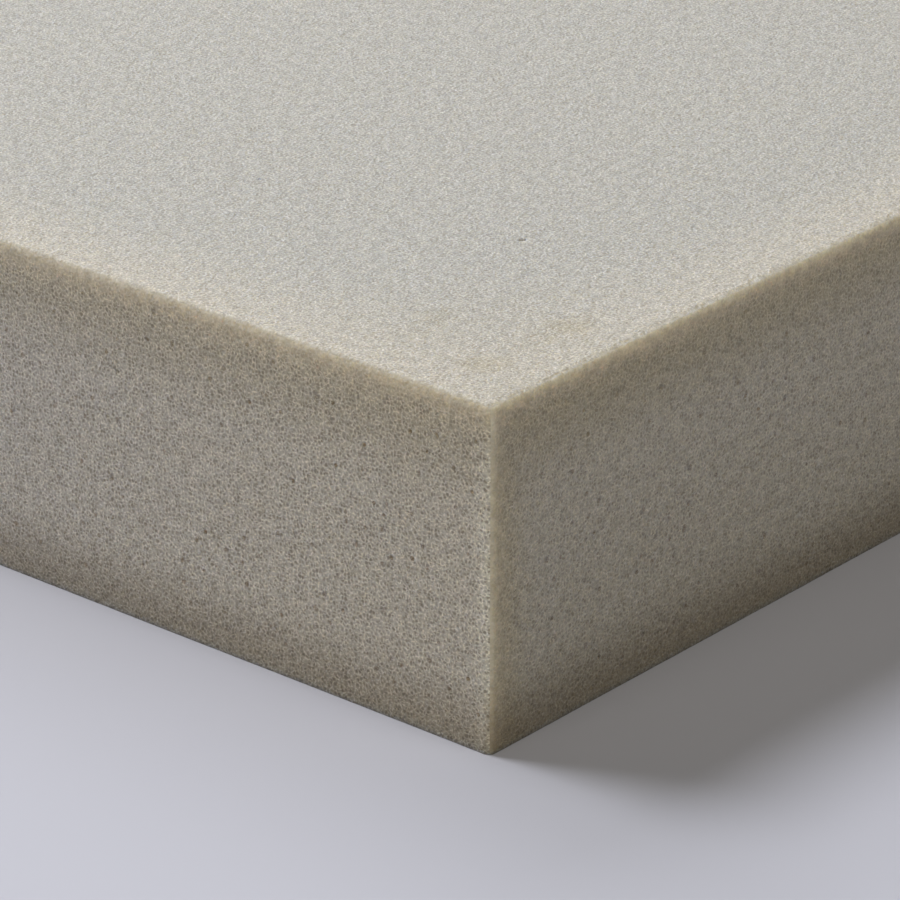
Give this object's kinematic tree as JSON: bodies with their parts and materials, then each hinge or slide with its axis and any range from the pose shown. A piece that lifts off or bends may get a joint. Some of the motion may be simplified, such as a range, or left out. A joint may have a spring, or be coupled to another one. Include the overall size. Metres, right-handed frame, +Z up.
{
  "type": "foam block",
  "caption": "Rectangular block of soft open-cell foam with sawn faces and slightly rounded edges, used as a pad, packing or work support.",
  "frame": {"origin": "middle of the lower face, the face that the block lies on", "axes": "+X along the length, +Y along the width, +Z up through the thickness"},
  "size_m": [0.2, 0.15, 0.04],
  "materials": {
    "foam": "matte open-cell polyurethane foam, warm light grey, sawn surface with fine open pores"
  },
  "bodies": {
    "root": {"foam_block": "foam"}
  },
  "joints": []
}
